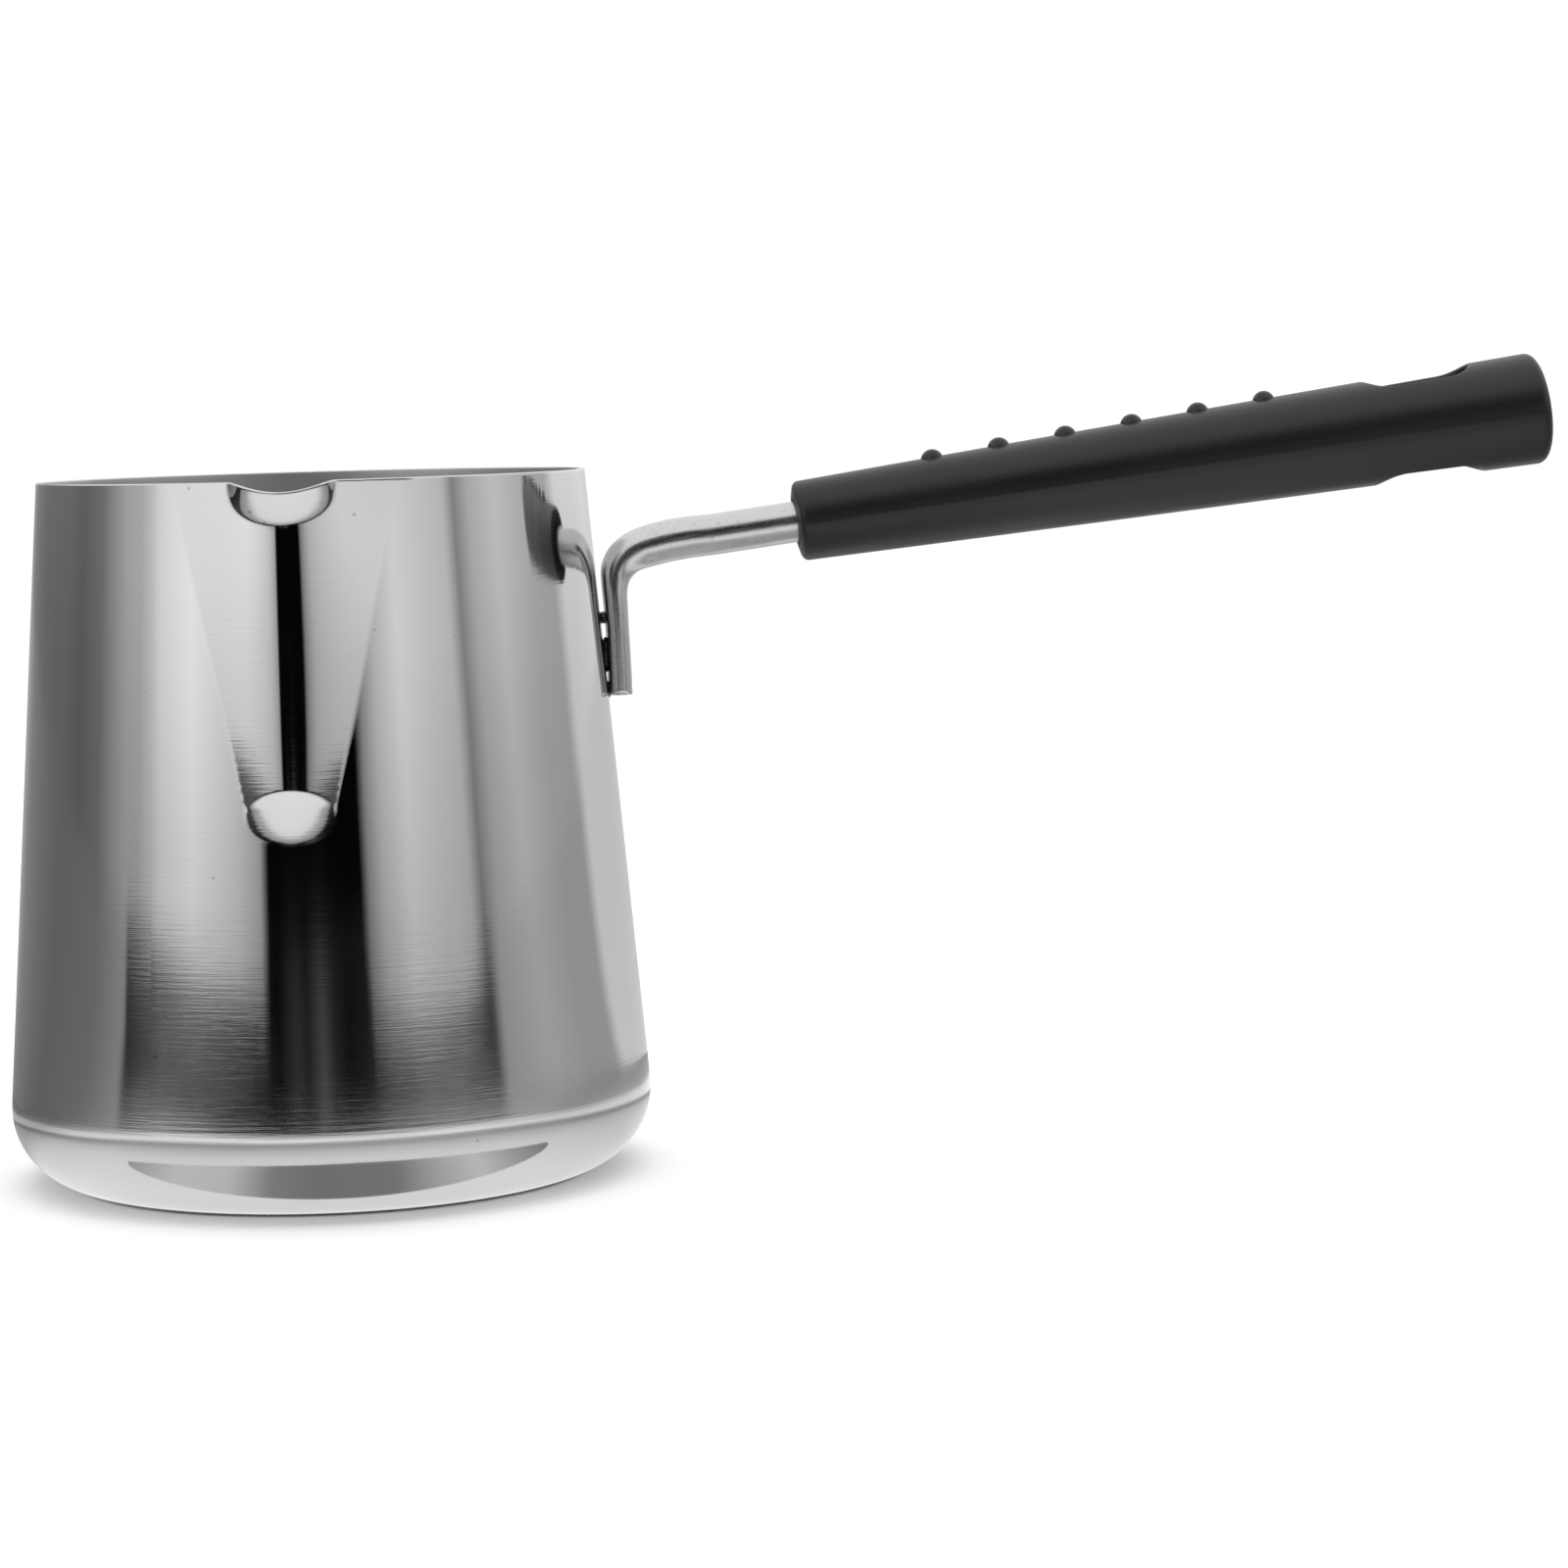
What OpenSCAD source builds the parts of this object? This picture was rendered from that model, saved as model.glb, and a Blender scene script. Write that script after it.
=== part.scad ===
// Candle melting pot: a drawn stainless pouring pot with a pinched spout and a welded
// tube handle that carries a moulded push-on grip.
// Origin at the centre of the base, base on z = 0, handle towards +X.

/* [Pot] */
// Width of the straight wall, carried down to the base plane
foot_d = 117.3; // [110:0.1:125]
// Outside diameter at the rim
rim_d = 97.6; // [90:0.1:105]
// Height of the rim above the base
pot_h = 125.6; // [115:0.1:140]
// Outside radius of the rounded bottom corner
corner_r = 14; // [8:0.5:20]
// Thickness of the stainless sheet
sheet_t = 0.8; // [0.6:0.1:1.2]

/* [Spout] */
// Angle from the handle round to the spout
spout_turn = -96; // [-110:1:-75]
// Half of the angle that the spout takes of the rim
spout_half_angle = 22.6; // [18:0.1:27]
// Half of the angle that it still takes at its foot
foot_half_angle = 9; // [6:0.1:12]
// Height of the spout's foot above the base
spout_foot_z = 73; // [62:1:85]
// Height over which the foot fades into the wall
foot_fade = 9; // [5:0.5:12]
// How far the ridge stands out of the wall at the rim
ridge_out_rim = 2.8; // [2:0.1:5]
// How far the ridge stands out of the wall at its foot
ridge_out_foot = 1.5; // [1:0.1:2.6]
// Roundness of the ridge: the width over which one side turns into the other
ridge_crown = 4.5; // [4:0.1:10]
// Depth of the dip in the rim at the lip
lip_dip = 1.8; // [1:0.1:3]
// Half of the angle that the lip takes of the rim
lip_half_angle = 10.4; // [8:0.2:13]
// Height of the flared band below the rim
lip_band = 7.5; // [5:0.5:10]
// How far the lip flares past the ridge
lip_flare = 1.9; // [1:0.1:2.5]

/* [Handle tube] */
// Outside diameter of the tube
tube_d = 7.4; // [6:0.1:9]
// Wall thickness of the tube
tube_wall = 1; // [0.8:0.1:1.4]
// Thickness of the flattened leg, measured away from the pot
leg_t = 4.2; // [3.6:0.1:5]
// Height of the leg's cut end above the base
leg_end_z = 84.6; // [75:0.1:90]
// Height at which the leg runs into the bend
bend_z = 106.1; // [100:0.1:110]
// Radius of the tight bend, on the tube's centre line
bend_r = 4.3; // [4.1:0.1:8]
// Radius of the long easy bend after it
easy_r = 60; // [40:1:90]
// Rise of the tube where the tight bend ends
easy_rise = 17; // [14:0.5:24]
// Rise of the straight arm and the grip
arm_rise = 7; // [3:0.5:12]
// Straight tube that shows before the grip
arm_len = 19.5; // [12:0.5:40]
// Length of tube inside the grip
tube_in_grip = 72; // [40:1:85]

/* [Grip] */
// Length of the grip
grip_l = 139.6; // [125:0.1:160]
// Diameter at the end nearer the pot
grip_near_d = 14.5; // [13:0.1:17]
// Diameter at the far end
grip_far_d = 20.4; // [19:0.1:24]
// Corner radius at the near end
near_round = 1.4; // [0.8:0.1:3]
// Corner radius at the far end
far_round = 2.2; // [1:0.1:4]
// Length of the hanging slot
slot_l = 19.4; // [14:0.2:24]
// Width of the hanging slot
slot_w = 9.2; // [6:0.2:11]
// Distance from the near end to the middle of the slot
slot_at = 117; // [112:0.5:119]
// Number of raised dots along the top
dots = 6; // [1:1:7]
// Distance from the near end to the first dot
first_dot_at = 26.3; // [15:0.1:30]
// Distance between dots
dot_pitch = 12.4; // [8:0.1:12.6]
// Height of a dot
dot_h = 1.45; // [0.8:0.05:1.8]
// Radius of a dot's ball
dot_r = 2.1; // [1.8:0.1:2.6]

/* [Hidden] */
$fn = 96;

// Slope of the wall: radius gained for each millimetre down
lean = (foot_d - rim_d) / 2 / pot_h;
lean_angle = atan(lean);
// Height at which the wall meets the corner arc, and the arc's centre
corner_top_z = corner_r * (1 + sin(lean_angle));
corner_x = wall_r(corner_top_z) - corner_r * cos(lean_angle);
lip_band_z = pot_h - lip_band;

// Rings up the pot's skin: [0, angle on the corner arc], [1, height] or [2, share of the lip band]
corner_steps = 8;
foot_steps = 5;
panel_steps = 4;
lip_steps = 4;
skin_rows = concat(
    [for (i = [0:corner_steps]) [0, -90 + (90 + lean_angle) * i / corner_steps]],
    [[1, (corner_top_z + spout_foot_z - foot_fade) / 2]],
    [for (i = [0:foot_steps]) [1, spout_foot_z - foot_fade * (1 - i / foot_steps)]],
    [for (i = [1:panel_steps - 1])
        [1, spout_foot_z + (lip_band_z - spout_foot_z) * i / panel_steps]],
    [for (i = [0:lip_steps]) [2, i / lip_steps]]
);
// Turns round the pot from the middle of the spout: fine over the spout, coarser elsewhere
spout_span = 28;
fine_step = 2;
coarse_start = 30;
coarse_step = 6;
skin_turns = concat(
    [for (turn = [-spout_span:fine_step:spout_span]) turn],
    [for (turn = [coarse_start:coarse_step:360 - coarse_start]) turn]
);

// The leg's flat side stands this far off the wall at its cut end, bridged by weld
weld_gap = 0.15;
leg_x = wall_r(leg_end_z) + weld_gap + leg_t / 2;
// Width of a round tube of that girth once it is pressed flat
leg_w = leg_t + PI * (tube_d - leg_t) / 2;
// The leg turns round again over this height below the bend
flat_top_z = bend_z - 6;
bend_x = leg_x + bend_r;
bend_end = [bend_x - bend_r * sin(easy_rise), bend_z + bend_r * cos(easy_rise)];
easy_centre = bend_end + easy_r * [sin(easy_rise), -cos(easy_rise)];
arm_start = easy_centre + easy_r * [-sin(arm_rise), cos(arm_rise)];
grip_start = arm_start + arm_len * [cos(arm_rise), sin(arm_rise)];
// Bore mouth of the grip: a shallow countersink a little wider than the tube
mouth_r = tube_d / 2 + 0.9;
mouth_depth = 0.9;
bore_end_gap = 2;
// Points round each ring of the tube, and steps along each curved stretch of it
ring_points = 36;
flat_steps = 6;
bend_steps = 9;
easy_steps = 4;
// Weld beads: [lowest z, highest z, width across]
upper_bead = [97.4, 99.6, 4];
middle_bead = [88.6, 95, 4.6];
lower_bead = [83.9, 87, 4.8];

// Outside radius of the straight wall at a height
function wall_r(z) = rim_d / 2 + lean * (pot_h - z);
// Half the angle that the spout takes at a height; its side lines are straight
function half_angle(z) =
    foot_half_angle + (spout_half_angle - foot_half_angle)
    * (max(z, spout_foot_z) - spout_foot_z) / (pot_h - spout_foot_z);
// Radius of the spout's ridge at a height; the ridge is straight from foot to rim
function ridge_line(z) =
    let (foot = wall_r(spout_foot_z) + ridge_out_foot, rim = rim_d / 2 + ridge_out_rim)
    foot + (rim - foot) * (z - spout_foot_z) / (pot_h - spout_foot_z);
// Radius over the spout: a hyperbola through both side lines, w across and p outwards,
// p + k sqrt(w^2 + crown^2) = reach, met by the ray at a turn
function spout_r(turn, wall, half, z) =
    let (side = wall * sin(half),
        k = (ridge_line(z) - wall * cos(half))
            / (sqrt(pow(side, 2) + pow(ridge_crown, 2)) - ridge_crown),
        reach = ridge_line(z) + k * ridge_crown,
        c = cos(turn),
        bend = pow(c, 2) - pow(k * sin(turn), 2))
    abs(turn) >= half ? wall
        : (reach * c - sqrt(pow(reach * c, 2)
            - bend * (pow(reach, 2) - pow(k * ridge_crown, 2)))) / bend;
// Share of the lip left at a turn, 1 in its middle and 0 past its ends
function lip_share(turn) = pow(max(0, 1 - pow(turn / lip_half_angle, 2)), 1.5);
function rim_z(turn) = pot_h - lip_dip * lip_share(turn);
// How far the skin stands out of the plain wall
function stand_out(turn, z) =
    let (wall = wall_r(z), up = max(0, z - lip_band_z) / lip_band,
        fade = pow(min(1, max(0, (z - spout_foot_z + foot_fade) / foot_fade)), 1.5))
    (spout_r(turn, wall, half_angle(z), z) - wall) * fade
    + lip_flare * pow(up, 1.5) * lip_share(turn);

// Smooth change from 0 to 1
function ease(s) = s * s * (3 - 2 * s);
// Stations along the tube: [x, z, direction of the run, thickness of the tube]
function flat_station(s) =
    [leg_x, flat_top_z + s * (bend_z - flat_top_z), 90, leg_t + (tube_d - leg_t) * ease(s)];
function arc_station(x, z, radius, rise) =
    [x - radius * sin(rise), z + radius * cos(rise), rise, tube_d];
run = arm_len + tube_in_grip;
tube_stations = concat(
    [[leg_x, leg_end_z, 90, leg_t]],
    [for (i = [0:flat_steps - 1]) flat_station(i / flat_steps)],
    [for (i = [0:bend_steps - 1])
        arc_station(bend_x, bend_z, bend_r, 90 - (90 - easy_rise) * i / bend_steps)],
    [for (i = [0:easy_steps])
        arc_station(easy_centre[0], easy_centre[1], easy_r,
            easy_rise - (easy_rise - arm_rise) * i / easy_steps)],
    [[arm_start[0] + run * cos(arm_rise), arm_start[1] + run * sin(arm_rise), arm_rise, tube_d]]
);
// One ring of points: a tube of the same girth pressed to the station's thickness
function ring(station, inset) =
    let (r = station[3] / 2 - inset, side = PI * (tube_d - station[3]) / 4)
    [for (k = [0:ring_points - 1])
        let (turn = 360 * (k + 0.5) / ring_points, u = r * cos(turn))
        [station[0] + u * sin(station[2]),
            r * sin(turn) + side * sign(sin(turn)),
            station[1] - u * cos(station[2])]];

// One point of the pot's skin, drawn in by inset
function skin_point(turn, row, inset) =
    let (
        z = row[0] == 0 ? corner_r + (corner_r - inset) * sin(row[1])
            : row[0] == 1 ? row[1]
            : lip_band_z + row[1] * (rim_z(turn) - lip_band_z),
        r = row[0] == 0 ? corner_x + (corner_r - inset) * cos(row[1])
            : wall_r(z) + stand_out(turn, z) - inset / cos(lean_angle)
    )
    [r * cos(turn + spout_turn), r * sin(turn + spout_turn), z];
function skin_ring(row, inset) =
    [for (turn = skin_turns) skin_point(turn > 180 ? turn - 360 : turn, row, inset)];

// Closed solid through a run of rings with the same number of points. A loop joins its last
// ring to its first; otherwise each end is closed by a flat face.
module skin(rings, loop = false) {
    n = len(rings[0]);
    size = n * len(rings);
    spans = loop ? len(rings) : len(rings) - 1;
    polyhedron(
        points = [for (points = rings) each points],
        faces = concat(
            loop ? [] : [[for (k = [0:n - 1]) k], [for (k = [0:n - 1]) size - 1 - k]],
            [for (i = [0:spans - 1]) for (k = [0:n - 1])
                [i * n + k, ((i + 1) * n + k) % size, i * n + (k + 1) % n]],
            [for (i = [0:spans - 1]) for (k = [0:n - 1])
                [i * n + (k + 1) % n, ((i + 1) * n + k) % size, ((i + 1) * n + (k + 1) % n) % size]]
        )
    );
}

// One-piece drawn pot: outside skin up to the rim, then inside skin down to the base
module pot_body() {
    last = len(skin_rows) - 1;
    color("silver") skin(concat(
        [for (row = skin_rows) skin_ring(row, 0)],
        [for (i = [0:last]) skin_ring(skin_rows[last - i], sheet_t)]
    ));
}

// Plain wall near the handle, filled, for cutting the weld beads to it
module filled_wall() {
    skin([for (row = skin_rows) if (row[0] == 1) skin_ring(row, 0)]);
}

// Outline of the flattened leg, seen along its length
module leg_outline() {
    side = (leg_w - leg_t) / 2;
    union() {
        for (y = [-side, side]) translate([0, y]) circle(leg_t / 2);
        square([leg_t, 2 * side], center = true);
    }
}

// Flattened leg up to where it turns round
module leg_form() {
    translate([leg_x, 0, leg_end_z]) linear_extrude(flat_top_z - leg_end_z) leg_outline();
}

// Bent stainless tube, pressed flat where it meets the pot: outside skin, then bore
module handle_tube() {
    last = len(tube_stations) - 1;
    color("gainsboro") skin(concat(
        [for (station = tube_stations) ring(station, 0)],
        [for (i = [0:last]) ring(tube_stations[last - i], tube_wall)]
    ), loop = true);
}

// Weld bead between the wall and the leg, cut to both of them
module bead(size) {
    r = (size[1] - size[0]) / 2;
    color("gray") difference() {
        translate([leg_x - leg_t / 2, size[2] / 2, size[0] + r])
            rotate([90, 0, 0]) cylinder(r = r, h = size[2]);
        filled_wall();
        leg_form();
    }
}

// Small upper bead, across the widest part of the gap
module weld_upper() { bead(upper_bead); }

// Main bead behind the middle of the leg
module weld_middle() { bead(middle_bead); }

// Bead at the leg's cut end
module weld_lower() { bead(lower_bead); }

// Side outline of the grip: a long cone with rounded ends
module grip_outline() {
    near_r = grip_near_d / 2;
    far_r = grip_far_d / 2;
    union() {
        polygon([
            [0, 0],
            [near_r - near_round, 0],
            [near_r, near_round],
            [far_r, grip_l - far_round],
            [far_r - far_round, grip_l],
            [0, grip_l]
        ]);
        translate([near_r - near_round, near_round]) circle(near_round);
        translate([far_r - far_round, grip_l - far_round]) circle(far_round);
    }
}

// Slot for hanging the pot up: straight sides and round ends
module hanging_slot() {
    half = (slot_l - slot_w) / 2;
    depth = 2 * grip_far_d;
    translate([depth / 2, 0, slot_at]) rotate([0, -90, 0]) {
        for (x = [-half, half]) translate([x, 0, 0]) cylinder(d = slot_w, h = depth);
        translate([-half, -slot_w / 2, 0]) cube([2 * half, slot_w, depth]);
    }
}

// Moulded grip with a blind bore for the tube, raised dots and a hanging slot
module grip() {
    taper = (grip_far_d - grip_near_d) / 2 / (grip_l - near_round - far_round);
    color("#1b1b1b") translate([grip_start[0], 0, grip_start[1]]) rotate([0, 90 - arm_rise, 0])
        difference() {
            union() {
                rotate_extrude() grip_outline();
                for (i = [0:dots - 1]) {
                    along = first_dot_at + i * dot_pitch;
                    surface_r = grip_near_d / 2 + taper * (along - near_round);
                    translate([-(surface_r + dot_h - dot_r), 0, along]) rotate([0, 90, 0]) sphere(r = dot_r);
                }
            }
            translate([0, 0, -1]) cylinder(d = tube_d, h = tube_in_grip + bore_end_gap + 1);
            translate([0, 0, -0.01])
                cylinder(r1 = mouth_r, r2 = tube_d / 2, h = mouth_depth);
            hanging_slot();
        }
}

pot_body();
handle_tube();
weld_upper();
weld_middle();
weld_lower();
grip();
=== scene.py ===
"""Candle melting pot: looks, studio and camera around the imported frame.

A drawn stainless pouring pot with a pinched spout, a bent stainless tube welded to its
wall, and a moulded black grip pushed on the tube. Every length is in metres.
"""

import math

import bpy
import numpy as np
from bpy.props import FloatProperty, FloatVectorProperty, IntProperty, PointerProperty
from mathutils import Matrix, Vector


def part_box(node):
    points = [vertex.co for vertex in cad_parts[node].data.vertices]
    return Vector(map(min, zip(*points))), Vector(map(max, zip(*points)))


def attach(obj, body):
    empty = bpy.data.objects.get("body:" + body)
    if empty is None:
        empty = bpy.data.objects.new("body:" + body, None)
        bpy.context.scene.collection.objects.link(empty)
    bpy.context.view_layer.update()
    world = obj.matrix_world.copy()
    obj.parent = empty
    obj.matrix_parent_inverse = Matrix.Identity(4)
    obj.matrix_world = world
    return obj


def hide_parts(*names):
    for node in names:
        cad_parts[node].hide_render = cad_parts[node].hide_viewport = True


bl_info = {
    "name": "Candle melting pot",
    "version": (1, 0, 0),
    "blender": (4, 5, 0),
    "location": "3D View > Sidebar > Melting pot",
    "description": "Builds the visible pieces of a candle melting pot and its studio",
    "category": "Object",
}

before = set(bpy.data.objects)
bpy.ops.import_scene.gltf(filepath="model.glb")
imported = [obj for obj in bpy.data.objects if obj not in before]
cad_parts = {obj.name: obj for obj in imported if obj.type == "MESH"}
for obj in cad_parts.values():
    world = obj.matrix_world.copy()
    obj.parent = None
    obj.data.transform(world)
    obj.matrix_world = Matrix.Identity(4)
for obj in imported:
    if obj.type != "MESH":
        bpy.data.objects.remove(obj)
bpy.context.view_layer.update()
BODY = "root"
MM = 0.001

POT_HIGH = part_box("pot_body")[1]


# ---------------------------------------------------------------- sizes and colours


def length(name, description, default):
    """A length property, shown in the scene's units and kept in metres."""
    return FloatProperty(
        name=name, description=description, default=default, min=0.0, precision=5,
        subtype="DISTANCE", unit="LENGTH",
    )


def angle(name, description, degrees):
    """An angle property, given here in degrees."""
    return FloatProperty(
        name=name, description=description, default=math.radians(degrees),
        subtype="ANGLE", unit="ROTATION",
    )


def share(name, description, default, top=1.0):
    """A plain number from 0 to top."""
    return FloatProperty(
        name=name, description=description, default=default, min=0.0, max=top, precision=4
    )


def to_linear(code):
    """Turns an sRGB hex colour such as "#c8c7c5" into linear red, green, blue."""
    parts = [int(code[i:i + 2], 16) / 255 for i in (1, 3, 5)]
    return tuple(p / 12.92 if p <= 0.04045 else ((p + 0.055) / 1.055) ** 2.4 for p in parts)


def colour(name, description, code):
    """A colour property whose default is an sRGB hex colour."""
    return FloatVectorProperty(
        name=name, description=description, default=to_linear(code),
        min=0.0, max=1.0, size=3, subtype="COLOR",
    )


class PotSizes(bpy.types.PropertyGroup):
    """Sizes of the drawn pot and its spout."""

    height: length("Height", "Rim above the base", POT_HIGH[2])
    rim_radius: length("Rim radius", "Outside radius at the rim", 48.8 * MM)
    foot_radius: length("Foot radius", "Straight wall carried down to the base", 58.6 * MM)
    corner: length("Corner radius", "Outside radius of the bottom corner", 14 * MM)
    sheet: length("Sheet", "Thickness of the stainless sheet", 0.8 * MM)
    base_dish: length("Base dish", "How far the middle of the base stands up", 0.5 * MM)
    spout_turn: angle("Spout turn", "From the handle round to the spout", -96)
    spout_half: angle("Spout half angle", "Half of the spout's share of the rim", 22.6)
    foot_half: angle("Foot half angle", "Half of the spout's share at its foot", 9.1)
    spout_foot: length("Spout foot", "Height of the crease at the spout's foot", 73.6 * MM)
    foot_fade: length("Foot fade", "Height over which the foot fades out", 9.2 * MM)
    ridge_out_rim: length("Ridge at rim", "Ridge out of the wall at the rim", 2.8 * MM)
    ridge_out_foot: length("Ridge at foot", "Ridge out of the wall at its foot", 1.5 * MM)
    crown: length("Ridge crown", "Width over which the ridge turns", 4.5 * MM)
    lip_dip: length("Lip dip", "Depth of the dip in the rim", 1.8 * MM)
    lip_half: angle("Lip half angle", "Half of the lip's share of the rim", 10.4)
    lip_band: length("Lip band", "Height of the flared band below the rim", 7.5 * MM)
    lip_flare: length("Lip flare", "How far the lip stands past the ridge", 1.9 * MM)


class HandleSizes(bpy.types.PropertyGroup):
    """Sizes of the tube, the welds and the grip."""

    tube: length("Tube", "Outside diameter of the tube", 7.4 * MM)
    tube_wall: length("Tube wall", "Wall thickness of the tube", 1 * MM)
    rise: angle("Rise", "Rise of the arm and the grip", 7)
    tube_in_grip: length("Tube in grip", "Length of tube inside the grip", 72 * MM)
    grip_length: length("Grip length", "Length of the grip along its axis", 139.6 * MM)
    grip_near: length("Grip near radius", "Radius at the end nearer the pot", 7.25 * MM)
    grip_far: length("Grip far radius", "Radius at the far end", 10.2 * MM)
    near_round: length("Near round", "Edge radius at the near end", 1.4 * MM)
    far_round: length("Far round", "Edge radius at the far end", 2.2 * MM)
    slot_at: length("Slot place", "Near end to the middle of the slot", 117 * MM)
    slot_length: length("Slot length", "Length of the hanging slot", 19.4 * MM)
    slot_width: length("Slot width", "Width of the hanging slot", 9.2 * MM)
    slot_edge: length("Slot edge", "Radius rolled over the slot's edge", 0.8 * MM)
    dots: IntProperty(name="Dots", description="Raised dots on top", default=6, min=1, max=7)
    first_dot: length("First dot", "Near end to the first dot", 26.3 * MM)
    dot_pitch: length("Dot pitch", "Distance between dots", 12.4 * MM)
    dot_ball: length("Dot ball", "Radius of a dot's ball", 2.1 * MM)
    dot_height: length("Dot height", "Height of a dot", 1.45 * MM)


class Finishes(bpy.types.PropertyGroup):
    """Colours and grain of the materials."""

    steel: colour("Steel", "Stainless steel of the pot", "#c9c9c9")
    tube: colour("Tube steel", "Stainless steel of the tube", "#c4c4c4")
    weld: colour("Weld", "Heat-stained weld metal", "#585654")
    plastic: colour("Plastic", "Black grip plastic", "#060607")
    floor: colour("Floor", "Pale studio floor", "#f2f2f2")
    brush_line: length("Brush line", "Width of one brushed line", 0.5 * MM)
    brush_run: length("Brush run", "Length of one brushed line", 14 * MM)
    grain: length("Grain", "Spark-eroded grain of the grip", 0.45 * MM)


class StudioSizes(bpy.types.PropertyGroup):
    """Camera and lights."""

    distance: length("Camera distance", "Camera in front of the pot's axis", 0.8087)
    eye: length("Camera height", "Camera above the floor", 0.13896)
    pan: angle("Pan", "Camera turned towards the handle", 5.896)
    tilt: angle("Tilt", "Camera tipped down", 5.048)
    roll: angle("Roll", "Camera rolled over", -1.518)
    lens: share("Lens", "Focal length in millimetres", 102.92, 500)
    sky: share("Sky", "Brightness of the room", 1.16, 10)
    top_watts: share("Top light", "Power of the soft light above", 9.0, 500)
    tent_radius: length("Tent radius", "Radius of the light wall", 2.0)


# ---------------------------------------------------------------- mesh and node helpers


def put_mesh(name, points, faces, corner_uv, material, body=BODY, smooth=True):
    """Makes an object at the origin from points, faces and one UV pair per face corner."""
    mesh = bpy.data.meshes.new(name)
    mesh.from_pydata(points.tolist(), [], faces)
    layer = mesh.uv_layers.new(name="UVMap")
    layer.data.foreach_set("uv", np.asarray(corner_uv, np.float32).ravel())
    if smooth:
        mesh.shade_smooth()
    mesh.update()
    mesh.materials.append(material)
    made = bpy.data.objects.new(name, mesh)
    bpy.context.collection.objects.link(made)
    if body:
        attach(made, body)
    return made


def skin(rings, u, v, start=None, end=None, loop=False, start_index=0):
    """Quads between rings of points, each ring closed on itself.

    rings is rows x columns x 3, and ring i is joined to ring i + 1 with its face towards
    (round the ring) x (up the rows). start and end are pole points that close the first
    and last ring with a fan; loop joins the last ring to the first. u has one more value
    than there are columns and v one for each row, so a pattern runs on over the seam.
    """
    rows, cols = rings.shape[:2]
    points = rings.reshape(-1, 3)
    i = np.arange(rows if loop else rows - 1)[:, None]
    j = np.arange(cols)[None, :]
    up, on = (i + 1) % rows, (j + 1) % cols
    quads = np.stack(
        [i * cols + j, i * cols + on, up * cols + on, up * cols + j], axis=-1
    ).reshape(-1, 4)
    v_next = np.append(v, v[-1] + abs(v[-1] - v[-2]))
    left, right = np.broadcast_to(u[j], up.shape[:1] + j.shape[1:]), u[j + 1]
    right = np.broadcast_to(right, left.shape)
    low, high = np.broadcast_to(v_next[i], left.shape), np.broadcast_to(v_next[i + 1], left.shape)
    uv = np.stack(
        [np.stack(pair, -1) for pair in ((left, low), (right, low), (right, high), (left, high))],
        axis=2,
    ).reshape(-1, 2)
    faces = (quads + start_index).tolist()
    uv_parts = [uv]
    for pole, row, turn_round in ((start, 0, True), (end, rows - 1, False)):
        if pole is None:
            continue
        ring = row * cols + np.arange(cols)
        after = row * cols + (np.arange(cols) + 1) % cols
        tip = np.full(cols, len(points))
        order = (after, ring, tip) if turn_round else (ring, after, tip)
        faces += (np.stack(order, -1) + start_index).tolist()
        middle = (u[:-1] + u[1:]) / 2
        sides = (u[1:], u[:-1]) if turn_round else (u[:-1], u[1:])
        edge = np.full(cols, v[row])
        tip_v = np.full(cols, v[row] + (-0.001 if turn_round else 0.001))
        fan = np.stack(
            [np.stack([sides[0], edge], -1), np.stack([sides[1], edge], -1),
             np.stack([middle, tip_v], -1)],
            axis=1,
        )
        uv_parts.append(fan.reshape(-1, 2))
        points = np.vstack([points, np.asarray(pole, float)])
    return points, faces, np.vstack(uv_parts)


def along(path):
    """Distance travelled along a run of points."""
    steps = np.linalg.norm(np.diff(np.asarray(path, float), axis=0), axis=1)
    return np.append(0, np.cumsum(steps))


def ease(s):
    """Smooth change from 0 to 1: 3 s^2 - 2 s^3."""
    s = np.clip(s, 0, 1)
    return s * s * (3 - 2 * s)


def smooth_run(points, steps):
    """Catmull-Rom curve through rows of numbers, with the same steps between each pair."""
    p = np.vstack([2 * points[0] - points[1], points, 2 * points[-1] - points[-2]])
    t = (np.arange(steps) / steps)[None, :, None]
    a, b, c, d = (p[k:len(p) - 3 + k][:, None, :] for k in range(4))
    run = 0.5 * (
        2 * b + (c - a) * t + (2 * a - 5 * b + 4 * c - d) * t**2
        + (3 * b - 3 * c + d - a) * t**3
    )
    return np.vstack([run.reshape(-1, points.shape[1]), points[-1:]])


def add(tree, kind, inputs=None, **settings):
    """Adds one node; an input is given a number, a colour or another node's socket."""
    made = tree.nodes.new(kind)
    for name, value in settings.items():
        setattr(made, name, value)
    for key, value in (inputs or {}).items():
        if isinstance(value, bpy.types.NodeSocket):
            tree.links.new(value, made.inputs[key])
        else:
            made.inputs[key].default_value = value
    return made


def ramp(tree, factor, stops):
    """A straight-line grey ramp over (place, grey) stops."""
    made = add(tree, "ShaderNodeValToRGB", {"Fac": factor})
    made.color_ramp.interpolation = "LINEAR"
    elements = made.color_ramp.elements
    while len(elements) < len(stops):
        elements.new(0.5)
    for element, (place, grey) in zip(elements, stops):
        element.position = place
        element.color = (grey, grey, grey, 1)
    return made.outputs["Color"]


def object_place(tree):
    """The place on the object, in metres."""
    return add(tree, "ShaderNodeTexCoord").outputs["Object"]


def uv_place(tree, cells=None):
    """The place on the surface's UV map, counted in cells for each metre if they are given."""
    place = add(tree, "ShaderNodeUVMap", uv_map="UVMap").outputs["UV"]
    if cells is None:
        return place
    return add(tree, "ShaderNodeMapping", {"Vector": place, "Scale": cells}).outputs[0]


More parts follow.
